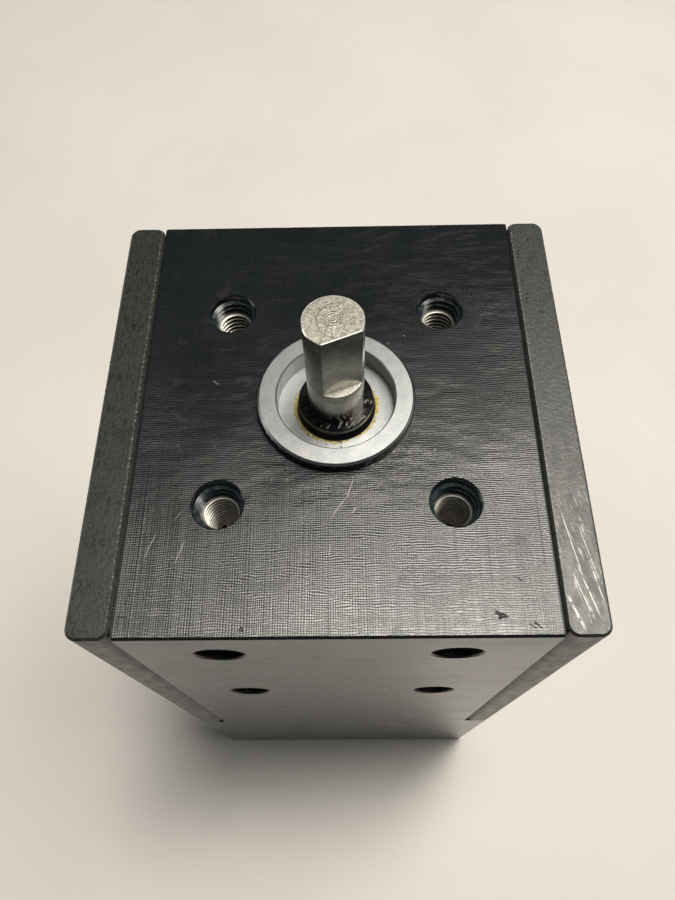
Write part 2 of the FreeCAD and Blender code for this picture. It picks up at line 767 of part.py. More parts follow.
def make_hub(label, bore_radius, placement):
    """A clamp hub: its tongue hangs below its own z = 0 and runs along X, and its bore is split at +X."""
    body = new_body(label)
    radius = size.hub_radius
    length = size.hub_length
    half_tongue = size.tongue_width / 2
    far = radius + 1
    sketch = new_sketch(body, "XY_Plane", -size.tongue_height)
    draw_circle(sketch, nothing, nothing, radius)
    pad(body, sketch, length + size.tongue_height)
    sketch = new_sketch(body, "XY_Plane")
    draw_rectangle(sketch, -far, far, half_tongue, far)
    draw_rectangle(sketch, -far, far, -far, -half_tongue)
    pocket(body, sketch, size.tongue_height + 1)
    drill(body, "XY_Plane", -size.tongue_height, [(nothing, nothing)], size.tongue_gap_radius,
          size.tongue_height, up_normal=True)
    drill(body, "XY_Plane", length, [(nothing, nothing)], bore_radius, REACH)

    # the slit along the bore, and the cross cut that frees the clamp from the tongue's end
    half_slit = size.slit_width / 2
    sketch = new_sketch(body, "XY_Plane", length)
    draw_rectangle(sketch, nothing, far, -half_slit, half_slit)
    pocket(body, sketch, length - size.slit_floor)
    sketch = new_sketch(body, "XZ_Plane")
    draw_rectangle(sketch, half_slit, far, size.slit_floor, size.slit_floor + size.relief_height)
    pocket(body, sketch, REACH, both_ways=True)

    # the clamp screw's thread, clearance and head seat
    screw_place = [(size.clamp_offset, size.clamp_height)]
    drill(body, "XZ_Plane", nothing, screw_place, size.clamp_thread_radius, REACH, both_ways=True)
    drill(body, "XZ_Plane", nothing, screw_place, size.clamp_clearance_radius, far)
    hub = drill(body, "XZ_Plane", -far, screw_place, size.clamp_counterbore_radius,
                far - size.clamp_seat, up_normal=True)
    bevel(body, hub, size.edge_break,
          lambda edge: is_circle(edge, radius) and flat_at(edge, 2, length.value))
    body.Placement = placement

    screw = cap_screw(label + "_screw", size.clamp_thread_radius, size.clamp_screw_length,
                      size.clamp_head_radius, size.clamp_head_height, size.socket_m3_width, export=True)
    seat = Vector(size.clamp_offset.value, size.clamp_seat.value, size.clamp_height.value)
    screw.Placement = placement.multiply(FreeCAD.Placement(seat, Rotation(X_AXIS, -90)))


def make_oldham_disc():
    """The floating disc: one slot across its top along X, one across its underside along Y."""
    body = new_body("oldham_disc", lower_hub_top + size.disc_gap + size.disc_thickness / 2)
    half = size.disc_thickness / 2
    far = size.hub_radius + 1
    half_slot = size.slot_width / 2
    sketch = new_sketch(body, "XY_Plane")
    draw_circle(sketch, nothing, nothing, size.hub_radius)
    pad(body, sketch, size.disc_thickness, both_ways=True)
    sketch = new_sketch(body, "XY_Plane", half)
    draw_rectangle(sketch, -far, far, -half_slot, half_slot)
    pocket(body, sketch, size.slot_depth)
    sketch = new_sketch(body, "XY_Plane", -half)
    draw_rectangle(sketch, -half_slot, half_slot, -far, far)
    pocket(body, sketch, size.slot_depth, up_normal=True)
    disc = drill(body, "XY_Plane", half, [(nothing, nothing)], size.disc_hole_radius, REACH)
    bevel(body, disc, size.edge_break,
          lambda edge: is_circle(edge, size.hub_radius) and (flat_at(edge, 2, half.value)
                                                             or flat_at(edge, 2, -half.value)))


# ---------------------------------------------------------------- assembly

def build():
    make_bearing_block()
    make_side_plate("right_side_plate", 0)
    make_side_plate("left_side_plate", 180)
    make_coupling_housing()
    make_access_plugs()
    make_thread_inserts()
    make_housing_fasteners()
    make_pilot_ring()
    make_wiper_seal()
    make_output_shaft()
    make_bearing("upper_bearing", upper_bearing_height)
    make_bearing("lower_bearing", size.lower_bearing_height)
    make_preload_washer()
    make_bearing_circlip()
    tongue_down = Rotation()
    make_hub("upper_hub", size.journal_radius,
             FreeCAD.Placement(Vector(0, 0, upper_hub_bottom.value), tongue_down))
    tongue_up = Rotation(Z_AXIS, 90).multiply(Rotation(X_AXIS, 180))
    make_hub("lower_hub", size.motor_bore_radius,
             FreeCAD.Placement(Vector(0, 0, lower_hub_top.value), tongue_up))
    make_oldham_disc()


def check_and_export():
    """Stops on any failed object, then writes one STEP file for each node."""
    document.recompute()
    for item in document.Objects:
        if any(word in item.State for word in ("Invalid", "Error")):
            raise RuntimeError(f"{item.Label} did not recompute: {item.State}")
    for node in nodes:
        if node.Shape.isNull() or not node.Shape.isValid() or not node.Shape.Solids:
            raise RuntimeError(f"{node.Label} has no valid solid")
    os.makedirs("parts", exist_ok=True)
    for node in nodes:
        node.Shape.exportStep(os.path.join("parts", node.Label + ".step"))
        print(f"{node.Label}: {len(node.Shape.Solids)} solid(s), {node.Shape.Volume:.1f} cubic mm")


build()
check_and_export()
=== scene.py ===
import json
import math
import random

import bmesh
import bpy
from mathutils import Matrix, Vector, noise


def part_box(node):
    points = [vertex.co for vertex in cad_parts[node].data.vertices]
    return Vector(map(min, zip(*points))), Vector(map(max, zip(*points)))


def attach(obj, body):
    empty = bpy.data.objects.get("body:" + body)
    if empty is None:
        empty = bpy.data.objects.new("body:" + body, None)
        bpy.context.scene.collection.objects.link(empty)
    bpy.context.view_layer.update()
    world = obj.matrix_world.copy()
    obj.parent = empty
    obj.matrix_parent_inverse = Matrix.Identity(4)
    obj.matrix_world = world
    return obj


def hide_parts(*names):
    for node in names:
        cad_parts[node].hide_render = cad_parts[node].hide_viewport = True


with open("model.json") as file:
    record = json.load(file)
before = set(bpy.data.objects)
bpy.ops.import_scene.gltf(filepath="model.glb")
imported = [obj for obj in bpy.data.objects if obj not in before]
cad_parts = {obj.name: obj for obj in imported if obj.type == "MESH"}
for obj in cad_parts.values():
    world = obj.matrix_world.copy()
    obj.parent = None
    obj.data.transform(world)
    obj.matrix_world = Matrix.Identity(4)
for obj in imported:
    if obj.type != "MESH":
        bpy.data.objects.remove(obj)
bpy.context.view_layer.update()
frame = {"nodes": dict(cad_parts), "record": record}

MM = 0.001
mounts = {mount["name"]: mount for mount in frame["record"]["mounts"]}


# ---------------------------------------------------------------- camera, floor and light

def make_camera():
    """A wide lens close to the part, looking steeply down on its top from a little in front."""
    data = bpy.data.cameras.new("camera")
    data.lens = 28.3
    data.sensor_width = 36.0
    data.clip_start = 5 * MM
    data.dof.use_dof = False
    camera = bpy.data.objects.new("camera", data)
    camera.location = (1.46 * MM, -46.67 * MM, 197.41 * MM)
    camera.rotation_mode = "ZYX"
    camera.rotation_euler = (0.4729, 0.0151, -0.0119)
    bpy.context.scene.collection.objects.link(camera)
    bpy.context.scene.camera = camera


def make_area_light(name, location, size, power, colour, seen=True):
    """A rectangular lamp aimed at the origin. Lengths are in metres and power in watts."""
    data = bpy.data.lights.new(name, "AREA")
    data.shape = "RECTANGLE"
    data.size, data.size_y = size
    data.energy = power
    data.color = colour
    light = bpy.data.objects.new(name, data)
    light.location = location
    light.visible_camera = seen
    light.rotation_euler = (-Vector(location)).to_track_quat("-Z", "Y").to_euler()
    bpy.context.scene.collection.objects.link(light)


def make_lighting():
    """A warm lamp overhead and a little behind, a wide soft one to its right, and a dim room.

    Three weak unseen lamps low down light the back and the sides, and hardly touch the top or the floor.
    """
    make_area_light("ceiling_lamp", (0.09, 0.08, 0.90), (0.14, 0.24), 5.6, (1.0, 0.94, 0.85))
    make_area_light("soft_lamp", (0.36, 0.14, 0.82), (0.56, 0.26), 3.2, (1.0, 0.95, 0.87))
    fill_lamps = [
        ("back_fill", (0.16, 1.10, 0.30), 1.5),
        ("left_fill", (-1.10, 0.10, 0.30), 1.1),
        ("right_fill", (1.10, 0.10, 0.30), 0.4),
    ]
    for name, location, power in fill_lamps:
        make_area_light(name, location, (0.40, 0.20), power, (1.0, 0.96, 0.90), seen=False)
    world = bpy.data.worlds.new("room")
    world.use_nodes = True
    background = world.node_tree.nodes["Background"]
    background.inputs["Color"].default_value = (0.78, 0.92, 1.0, 1.0)
    background.inputs["Strength"].default_value = 0.05
    bpy.context.scene.world = world
    bpy.context.scene.view_settings.view_transform = "Standard"


def make_floor():
    """A sheet of pale paper that reaches well past the view."""
    reach = 1.5
    mesh = bpy.data.meshes.new("floor")
    corners = [(-reach, -reach, 0), (reach, -reach, 0), (reach, reach, 0), (-reach, reach, 0)]
    mesh.from_pydata(corners, [], [(0, 1, 2, 3)])
    floor = bpy.data.objects.new("floor", mesh)
    floor.data.materials.append(paper_surface())
    bpy.context.scene.collection.objects.link(floor)


# ---------------------------------------------------------------- material building

class Surface:
    """A material, with a short call for each kind of node used here. Lengths are in millimetres."""

    MIX_FACTOR, MIX_FIRST, MIX_SECOND, MIX_RESULT = 0, 6, 7, 2

    def __init__(self, name, **sockets):
        """Starts a material; sockets are plain values for the shader's own inputs."""
        self.material = bpy.data.materials.new(name)
        self.material.use_nodes = True
        self.tree = self.material.node_tree
        self.shader = self.tree.nodes["Principled BSDF"]
        for socket, value in sockets.items():
            self.shader.inputs[socket.replace("_", " ")].default_value = value
        coordinates = self.add("TexCoord")
        self.place = self.vector("SCALE", coordinates.outputs["Object"], Scale=1 / MM)
        facing = self.add("SeparateXYZ", Vector=coordinates.outputs["Normal"])
        self.facing_x = facing.outputs["X"]
        self.faces_up = self.fade(facing.outputs["Z"], 0.7, 0.95)
        self.normal = None

    def feed(self, socket, value):
        """Links a node's output to a socket, or sets the socket to a plain value."""
        if isinstance(value, bpy.types.NodeSocket):
            self.tree.links.new(value, socket)
        else:
            socket.default_value = value

    def add(self, kind, settings=None, **inputs):
        """Adds a shader node; an underscore in an input's name stands for a space."""
        node = self.tree.nodes.new("ShaderNode" + kind)
        for key, value in (settings or {}).items():
            setattr(node, key, value)
        for key, value in inputs.items():
            self.feed(node.inputs[key.replace("_", " ")], value)
        return node

    def vector(self, operation, first, second=None, **inputs):
        node = self.add("VectorMath", {"operation": operation}, **inputs)
        self.feed(node.inputs[0], first)
        if second is not None:
            self.feed(node.inputs[1], second)
        return node.outputs["Value" if operation in ("LENGTH", "DOT_PRODUCT", "DISTANCE") else "Vector"]

    def math(self, operation, first, second=0.0):
        node = self.add("Math", {"operation": operation})
        self.feed(node.inputs[0], first)
        self.feed(node.inputs[1], second)
        return node.outputs[0]

    def times(self, *values):
        """The product of several masks."""
        result = values[0]
        for value in values[1:]:
            result = self.math("MULTIPLY", result, value)
        return result

    def most(self, *values):
        """The largest of several masks."""
        result = values[0]
        for value in values[1:]:
            result = self.math("MAXIMUM", result, value)
        return result

    def axes(self):
        """The position's three coordinates."""
        node = self.add("SeparateXYZ", Vector=self.place)
        return node.outputs["X"], node.outputs["Y"], node.outputs["Z"]

    def turned(self, angle):
        """The position after a turn about the upright axis."""
        node = self.add("VectorRotate", {"rotation_type": "Z_AXIS"}, Vector=self.place, Angle=angle)
        return node.outputs["Vector"]

    def noise(self, scale, detail=2.0, stretch=(1, 1, 1), place=None):
        """Noise with about this many features in a millimetre, drawn out where stretch is small."""
        stretched = self.vector("MULTIPLY", place or self.place, stretch)
        return self.add("TexNoise", Vector=stretched, Scale=scale, Detail=detail).outputs["Fac"]

    def wave(self, position, period, wander):
        """A ripple from 0 to 1 along a coordinate; wander pushes it along, counted in periods."""
        periods = self.math("ADD", self.math("MULTIPLY", position, 1 / period), wander)
        turned = self.math("SINE", self.math("MULTIPLY", periods, 2 * math.pi))
        return self.fade(turned, -1.0, 1.0)

    def rings(self, scale, centre=(0, 0, 0), detail=3.0):
        """Turning marks: noise that depends only on the distance from an upright axis."""
        distance = self.radius(centre)
        node = self.add("TexNoise", {"noise_dimensions": "1D"}, W=distance, Scale=scale, Detail=detail)
        return node.outputs["Fac"]

    def radius(self, centre=(0, 0, 0)):
        """The distance from an upright axis."""
        level = self.vector("MULTIPLY", self.place, (1, 1, 0))
        return self.vector("DISTANCE", level, centre)

    def fade(self, value, start, end, low=0.0, high=1.0):
        """Goes smoothly from low to high as the value goes from start to end."""
        node = self.add("MapRange", {"interpolation_type": "SMOOTHSTEP"}, Value=value, From_Min=start,
                        From_Max=end, To_Min=low, To_Max=high)
        return node.outputs["Result"]

    def feed_colour(self, socket, colour):
        """Feeds a colour socket from a node's output, or from red, green and blue."""
        self.feed(socket, colour if isinstance(colour, bpy.types.NodeSocket) else (*colour, 1.0))

    def mix(self, factor, first, second):
        """Goes from the first colour to the second as the factor goes from 0 to 1."""
        node = self.add("Mix", {"data_type": "RGBA"})
        self.feed(node.inputs[self.MIX_FACTOR], factor)
        self.feed_colour(node.inputs[self.MIX_FIRST], first)
        self.feed_colour(node.inputs[self.MIX_SECOND], second)
        return node.outputs[self.MIX_RESULT]

    def bump(self, height, depth):
        """Adds relief on top of what the surface has already; depth is its height in millimetres."""
        node = self.add("Bump", Height=height, Distance=depth * MM, Strength=1.0)
        if self.normal is not None:
            self.feed(node.inputs["Normal"], self.normal)
        self.normal = node.outputs["Normal"]

    def specks(self, scale, share, size):
        """Small round dots in some cells of a scattered pattern."""
        cells = self.add("TexVoronoi", Vector=self.place, Scale=scale)
        chosen = self.add("SeparateColor", Color=cells.outputs["Color"])
        wanted = self.math("LESS_THAN", chosen.outputs["Red"], share)
        return self.times(wanted, self.fade(cells.outputs["Distance"], size, size * 0.4))

    def stroke(self, start, end, width, waver=0.5):
        """A scratch in plan from start to end, thin at its ends, that wavers by some millimetres."""
        wander = self.add("TexNoise", Vector=self.place, Scale=0.6).outputs["Color"]
        shift = self.vector("SCALE", self.vector("SUBTRACT", wander, (0.5, 0.5, 0.5)), Scale=waver)
        level = self.vector("MULTIPLY", self.vector("ADD", self.place, shift), (1, 1, 0))
        first = Vector((*start, 0))
        along = Vector((*end, 0)) - first
        offset = self.vector("SUBTRACT", level, first)
        share = self.math("MULTIPLY", self.vector("DOT_PRODUCT", offset, along), 1 / along.length_squared)
        ends = self.times(self.fade(share, 0.0, 0.2), self.fade(share, 1.0, 0.7))
        side = self.vector("DOT_PRODUCT", offset, Vector((-along.y, along.x, 0)).normalized())
        return self.times(ends, self.fade(self.math("ABSOLUTE", side), width, width * 0.3))

    def edge_wear(self, low, high, width):
        """A mask near the edges of an upright box with these corners, broken up by noise."""
        middle = (Vector(low) + Vector(high)) / 2
        half = (Vector(high) - Vector(low)) / 2
        offset = self.vector("ABSOLUTE", self.vector("SUBTRACT", self.place, middle / MM))
        depth = self.add("SeparateXYZ", Vector=self.vector("SUBTRACT", half / MM, offset))
        near = [self.fade(depth.outputs[axis], width, 0.0) for axis in "XYZ"]
        edges = self.most(self.times(near[0], near[1]), self.times(near[1], near[2]),
                          self.times(near[0], near[2]))
        return self.times(edges, self.fade(self.noise(1.6, 5.0), 0.50, 0.66))

    def done(self, colour, roughness):
        """Wires up the shader and returns the finished material."""
        self.feed_colour(self.shader.inputs["Base Color"], colour)
        self.feed(self.shader.inputs["Roughness"], roughness)
        if self.normal is not None:
            self.feed(self.shader.inputs["Normal"], self.normal)
        return self.material


def paint(material, *names):
    """Gives CAD nodes a material."""
    for name in names:
        for place in frame["nodes"][name].material_slots:
            place.material = material


# ---------------------------------------------------------------- black housing parts

BARE_METAL = (0.42, 0.42, 0.41)
BRIGHT_METAL = (0.78, 0.76, 0.68)

# bright scratches and dark nicks in the block's top face: start and end in millimetres, and width
TOP_SCRATCHES = [
    ((2.1, -11.0), (1.1, -13.8), 0.10),
    ((1.2, -13.4), (-0.8, -16.2), 0.09),
    ((2.4, -14.6), (1.8, -15.6), 0.07),
    ((-17.6, -18.6), (-18.6, -21.6), 0.07),
    ((-19.0, -16.0), (-18.2, -14.8), 0.05),
    ((24.0, -17.8), (24.6, -18.8), 0.07),
    ((-0.9, -20.8), (-0.7, -19.2), 0.06),
    ((-16.0, 3.4), (-15.2, 2.6), 0.06),
    ((-22.2, -21.0), (-20.9, -17.2), 0.06),
    ((9.0, 10.1), (9.3, 10.0), 0.10),
    ((6.8, 8.9), (7.1, 8.7), 0.11),
    ((4.2, -9.2), (4.6, -9.0), 0.09),
    ((5.3, -8.8), (5.7, -8.5), 0.08),
    ((6.9, -7.5), (7.2, -7.2), 0.09),
]
TOP_NICKS = [
    ((17.2, -27.2), (18.8, -27.9), 0.22),
    ((17.6, -27.9), (18.6, -27.6), 0.14),
    ((21.4, -28.3), (22.3, -29.1), 0.10),
    ((20.9, -28.5), (21.6, -29.1), 0.07),
    ((-10.7, -29.0), (-10.3, -28.8), 0.20),
    ((-24.4, -27.4), (-23.1, -27.6), 0.09),
    ((-24.3, -27.3), (-24.2, -29.6), 0.08),
    ((-23.8, -22.6), (-23.2, -29.6), 0.05),
    ((20.0, -23.2), (20.9, -23.9), 0.06),
]

# bright scrapes in the right plate's top edge, given the same way
PLATE_SCRAPES = [
    ((25.45, -25.2), (27.0, -29.6), 0.22),
    ((26.2, -15.2), (27.8, -24.8), 0.10),
    ((27.0, -21.6), (28.9, -28.4), 0.14),
    ((26.4, -22.6), (28.2, -28.6), 0.12),
    ((27.9, -16.8), (29.4, -24.4), 0.09),
    ((28.6, -21.8), (29.5, -26.6), 0.12),
]


def milled_black_surface(name, scratches=(), nicks=()):
    """Black anodised aluminium. Its top is flycut: fine ripples, and lines across them near the front."""
    surface = Surface(name, Metallic=0.0, IOR=1.62, Anisotropic=0.75)
    # the grain that stretches reflections runs along X, and along Y on the faces that X points out of
    aside = surface.fade(surface.math("ABSOLUTE", surface.facing_x), 0.6, 0.8)
    grain = surface.add("CombineXYZ", X=surface.math("SUBTRACT", 1.0, aside), Y=aside)
    surface.feed(surface.shader.inputs["Tangent"], grain.outputs["Vector"])
    x, y = surface.axes()[:2]
    up = surface.faces_up
    front = surface.times(up, surface.fade(y, -7.0, -22.0, 0.10, 1.0))
    ripple = surface.wave(y, 0.27, surface.times(surface.noise(0.5, 3.0, (0.5, 1, 1)), 3.4))
    weave = surface.wave(x, 0.29, surface.times(surface.noise(0.4, 2.0, (1, 0.05, 1)), 3.0))
    swell = surface.noise(1.0, 3.0, (0.25, 1.6, 1.6))
    lines = surface.noise(1.0, 4.0, (2.4, 0.02, 0.02))
    dark_lines = surface.fade(surface.noise(1.0, 1.0, (1.3, 0.014, 0.014)), 0.33, 0.28)
    light_lines = surface.fade(surface.noise(1.0, 1.0, (1.9, 0.02, 0.02)), 0.70, 0.76)
    patch = surface.fade(surface.noise(0.11, 2.0), 0.36, 0.62, 0.75, 1.0)
    smudge = surface.noise(0.07, 4.0)
    blots = surface.fade(surface.noise(0.35, 5.0, (1, 1, 2.2)), 0.60, 0.72)
    sides = surface.math("SUBTRACT", 1.0, up)
    streaks = surface.times(surface.fade(surface.noise(1.0, 4.0, (0.12, 0.12, 1.3)), 0.55, 0.75), sides)
    dust = surface.times(surface.specks(0.5, 0.07, 0.05), up)
    cuts = [surface.stroke(*scratch) for scratch in scratches]
    dents = [surface.stroke(*nick) for nick in nicks]
    lined = surface.times(surface.fade(lines, 0.40, 0.62), front)
    base = surface.mix(lined, (0.0055, 0.0075, 0.0085), (0.014, 0.0165, 0.0175))
    blotted = surface.mix(surface.times(blots, sides, 0.6), base, (0.030, 0.026, 0.022))
    streaked = surface.mix(surface.times(streaks, 0.5), blotted, (0.003, 0.003, 0.003))
    scratched = surface.mix(surface.times(surface.most(dust, *cuts), 0.6), streaked, BARE_METAL)
    colour = surface.mix(surface.most(0.0, *dents), scratched, (0.001, 0.001, 0.001))
    gloss = surface.fade(smudge, 0.3, 0.7, 0.25, 0.31)
    shine = surface.math("ADD", gloss, surface.times(surface.fade(lines, 0.36, 0.66, 0.0, 0.06), front))
    matt = surface.most(surface.times(dark_lines, front, 0.5), surface.times(blots, 0.25),
                        surface.times(streaks, 0.2), *dents)
    surface.bump(surface.times(ripple, patch, up), 0.0086)
    surface.bump(surface.times(swell, up), 0.004)
    surface.bump(surface.times(weave, front), 0.0065)
    surface.bump(surface.times(lines, front), 0.017)
    surface.bump(surface.times(light_lines, front), 0.014)
    if dents:
        surface.bump(surface.math("SUBTRACT", 1.0, surface.most(*dents)), 0.05)
    return surface.done(colour, surface.math("ADD", shine, surface.times(matt, 0.3)))


def worn_black_surface(name, box, scrapes=()):
    """Cloudy green-black anodising on a side plate, with pits in rows, scrapes, and a painted highlight
    along its inner top edge.
    """
    surface = Surface(name, Metallic=0.0, IOR=1.60)
    x, y = surface.axes()[:2]
    up = surface.faces_up
    inner = min(abs(box[0].x), abs(box[1].x)) / MM
    grain = surface.noise(4.5, 3.0)
    cloud = surface.noise(0.5, 4.0, (1.4, 0.7, 1.0))
    mottle = surface.noise(1.7, 3.0)
    rows = surface.noise(1.0, 0.0, (4.2, 0.62, 0.6))
    pits = surface.times(surface.fade(rows, 0.60, 0.66), surface.fade(y, -16.0, -4.0, 0.45, 1.0), up)
    dots = surface.times(surface.specks(1.1, 0.12, 0.09), 0.35)
    # painted highlight: a bright band along the plate's inner top edge, broken up by noise
    highlight_rim = surface.times(surface.fade(surface.math("ABSOLUTE", x), inner + 0.62, inner + 0.40), up)
    painted_inner_highlight = surface.times(highlight_rim, surface.fade(surface.noise(2.6, 4.0), 0.48, 0.68, 0.02, 0.6))
    broken = surface.fade(surface.noise(1.3, 3.0), 0.36, 0.46)
    cuts = [surface.times(surface.stroke(*scrape, 0.12), broken) for scrape in scrapes]
    if scrapes:
        streaks = surface.noise(1.0, 2.0, (5.5, 0.32, 1.0), surface.turned(-0.24))
        where = surface.times(surface.fade(y, -9.0, -18.0), up, surface.fade(mottle, 0.36, 0.5))
        cuts.append(surface.times(surface.fade(streaks, 0.58, 0.65), where, 0.65))
    bright = surface.most(surface.edge_wear(*box, 0.22), dots, painted_inner_highlight)
    base = surface.mix(surface.fade(mottle, 0.38, 0.62), (0.007, 0.0095, 0.007), (0.021, 0.0255, 0.0195))
    grained = surface.mix(surface.fade(grain, 0.44, 0.66, 0.0, 0.8), base, (0.040, 0.046, 0.036))
    clouded = surface.mix(surface.fade(cloud, 0.40, 0.62, 0.0, 0.7), grained, (0.010, 0.0125, 0.010))
    pitted = surface.mix(surface.times(pits, 0.85), clouded, (0.002, 0.002, 0.002))
    # bare metal from edge wear and specks, plus the painted highlight on the inner edge
    worn_and_highlit = surface.mix(surface.times(bright, 0.75), pitted, BARE_METAL)
    colour = surface.mix(surface.times(surface.most(0.0, *cuts), 0.8), worn_and_highlit, BRIGHT_METAL)
    surface.bump(grain, 0.017)
    surface.bump(mottle, 0.032)
    surface.bump(surface.math("SUBTRACT", 1.0, surface.most(0.0, *cuts)), 0.02)
    return surface.done(colour, surface.fade(cloud, 0.3, 0.7, 0.34, 0.46))


def threaded_black_surface():
    """Glossy black anodising on the threads above and between the inserts' turns."""
    surface = Surface("threaded_black", Metallic=0.0, IOR=1.75)
    chatter = surface.noise(1.8, 3.0)
    surface.bump(chatter, 0.006)
    patches = surface.fade(chatter, 0.35, 0.65)
    colour = surface.mix(patches, (0.008, 0.015, 0.018), (0.018, 0.032, 0.037))
    return surface.done(colour, surface.fade(chatter, 0.3, 0.7, 0.16, 0.30))


def moulded_black_surface():
    """The access plugs' black plastic."""
    surface = Surface("moulded_black", Metallic=0.0, IOR=1.5)
    grain = surface.noise(6.0, 2.0)
    surface.bump(grain, 0.02)
    colour = surface.mix(surface.noise(0.3, 3.0), (0.018, 0.018, 0.019), (0.032, 0.032, 0.034))
    return surface.done(colour, surface.fade(grain, 0.3, 0.7, 0.42, 0.58))


# ---------------------------------------------------------------- bare metal parts

# where the shaft's flat faces, and how far it is from the axis in millimetres
FLAT_ANGLE = math.radians(-68.0)
FLAT_DISTANCE = 2.5


def turned_aluminium_surface(name, rim_radius=None):
    """Aluminium with fine turning marks, and an outer wall painted near black where a rim radius is given.
    """
    surface = Surface(name, Metallic=1.0)
    marks = surface.rings(11.0)
    stain = surface.noise(0.7, 4.0)
    grain = surface.noise(6.0, 2.0)
    dots = surface.specks(2.2, 0.12, 0.05)
    base = surface.mix(surface.fade(stain, 0.3, 0.7), (0.285, 0.31, 0.325), (0.355, 0.365, 0.36))
    grained = surface.mix(surface.fade(grain, 0.50, 0.72, 0.0, 0.5), base, (0.60, 0.59, 0.57))
    colour = surface.mix(surface.times(dots, 0.5), grained, (0.22, 0.22, 0.22))
    if rim_radius:
        # the outer wall under the rim is painted near black, broken up by noise
        wall = surface.fade(surface.radius(), rim_radius - 0.12, rim_radius - 0.04)
        whole = surface.fade(surface.noise(2.0, 3.0), 0.66, 0.60)
        colour = surface.mix(surface.times(wall, whole), colour, (0.03, 0.03, 0.03))
    surface.bump(marks, 0.0040)
    surface.bump(grain, 0.010)
    return surface.done(colour, surface.fade(marks, 0.35, 0.65, 0.36, 0.44))


def shaft_surface():
    """Steel: faint lines round its sides, and coarse faced ends with rings near the middle. A painted
    highlight runs along the end's edges, and the ledge under the flat is painted light.
    """
    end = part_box("output_shaft")[1].z / MM
    radius = mounts["output_shaft"]["dims"]["r_mm"]
    surface = Surface("ground_steel", Metallic=1.0)
    x, z = surface.axes()[::2]
    up = surface.faces_up
    on_end = surface.times(up, surface.fade(z, end - 0.3, end - 0.1))
    on_ledge = surface.math("SUBTRACT", up, on_end)
    towards_flat = Vector((math.cos(FLAT_ANGLE), math.sin(FLAT_ANGLE), 0))
    flat_reach = surface.vector("DOT_PRODUCT", surface.place, towards_flat)
    # painted highlight: a near-white band along the end's round edge and along the flat's edge
    edge = surface.most(surface.fade(surface.radius(), radius - 0.17, radius - 0.08),
                        surface.fade(flat_reach, FLAT_DISTANCE - 0.20, FLAT_DISTANCE - 0.08))
    highlight_rim = surface.times(edge, surface.fade(z, end - 0.16, end - 0.08))
    swirl_distance = surface.radius((0.0, 0.15, 0))
    swirl_wave = surface.wave(swirl_distance, 0.27, surface.times(surface.noise(0.9, 3.0), 2.6))
    swirl = surface.times(swirl_wave, surface.fade(swirl_distance, 1.5, 0.8))
    ring_distance = surface.radius((0.6, 0.05, 0))
    ring_inner = surface.fade(ring_distance, 2.30, 2.38)
    ring_outer = surface.fade(ring_distance, 2.48, 2.40)
    groove = surface.times(ring_inner, ring_outer, surface.fade(x, 1.2, -0.6, 0.30, 1.0))
    grain = surface.noise(7.0, 3.0)
    dapple = surface.noise(2.4, 3.0)
    ground = surface.noise(1.0, 3.0, (0.3, 0.3, 9.0))
    patches = surface.noise(1.2, 3.0)
    sides = surface.mix(surface.fade(patches, 0.3, 0.7), (0.38, 0.37, 0.33), (0.52, 0.505, 0.45))
    faced = surface.mix(surface.fade(grain, 0.38, 0.62), (0.20, 0.19, 0.16), (0.44, 0.42, 0.37))
    dappled = surface.mix(surface.fade(dapple, 0.42, 0.66, 0.0, 0.5), faced, (0.62, 0.60, 0.53))
    # painted light: the ledge under the flat gets a much paler colour in place of the light that would
    # brighten it
    painted_ledge_light = surface.mix(surface.fade(grain, 0.38, 0.62), (0.50, 0.48, 0.43), (0.95, 0.92, 0.85))
    finished = surface.mix(on_ledge, surface.mix(on_end, sides, dappled), painted_ledge_light)
    cut = surface.times(on_end, surface.most(groove, surface.times(swirl, 0.55)))
    grooved = surface.mix(surface.times(cut, 0.85), finished, (0.09, 0.085, 0.075))
    # the painted highlight goes on the end's edges here
    colour = surface.mix(surface.times(highlight_rim, 0.9), grooved, (0.98, 0.96, 0.92))
    surface.bump(ground, 0.0022)
    surface.bump(surface.times(up, grain), 0.035)
    surface.bump(surface.times(on_end, swirl), 0.016)
    roughness = surface.math("ADD", surface.fade(ground, 0.3, 0.7, 0.20, 0.27), surface.times(up, 0.18))
    return surface.done(colour, roughness)


def drawn_wire_surface(mount_name):
    """Stainless wire: its turns have bright crests, with painted shade on their outer part in the grooves
    and on the turns near the mouth.
    """
    mount = mounts[mount_name]
    surface = Surface(mount_name + "_wire", Metallic=0.73)
    bore = mount["dims"]["hole_r_mm"]
    half = mount["dims"]["spacing_x_mm"] / 2
    along = [abs(part) for part in mount["axis"]]
    across = [1.0 - part for part in along]
    centre = Vector(mount["pos_m"]) / MM
    offset = surface.vector("ABSOLUTE", surface.vector("SUBTRACT", surface.place, centre))
    from_hole = surface.vector("MULTIPLY", surface.vector("SUBTRACT", offset, (half, half, half)), across)
    groove = surface.fade(surface.vector("LENGTH", from_hole), bore + 0.09, bore + 0.17)
    depth = surface.vector("LENGTH", surface.vector("MULTIPLY", offset, along))
    # painted shade: the outer part of each turn, down in the groove, and the turns nearest the mouth
    painted_shade = surface.most(surface.times(groove, 0.93), surface.fade(depth, 1.1, 0.4, 0.0, 0.75))
    streaks = surface.noise(1.0, 3.0, (0.8, 0.8, 5.0))
    stain = surface.noise(0.6, 3.0)
    surface.bump(streaks, 0.003)
    bright = surface.mix(surface.fade(stain, 0.35, 0.7), (0.84, 0.82, 0.75), (0.60, 0.56, 0.46))
    # the painted shade darkens the wire here
    colour = surface.mix(painted_shade, bright, (0.085, 0.083, 0.074))
    return surface.done(colour, surface.fade(streaks, 0.3, 0.7, 0.34, 0.48))


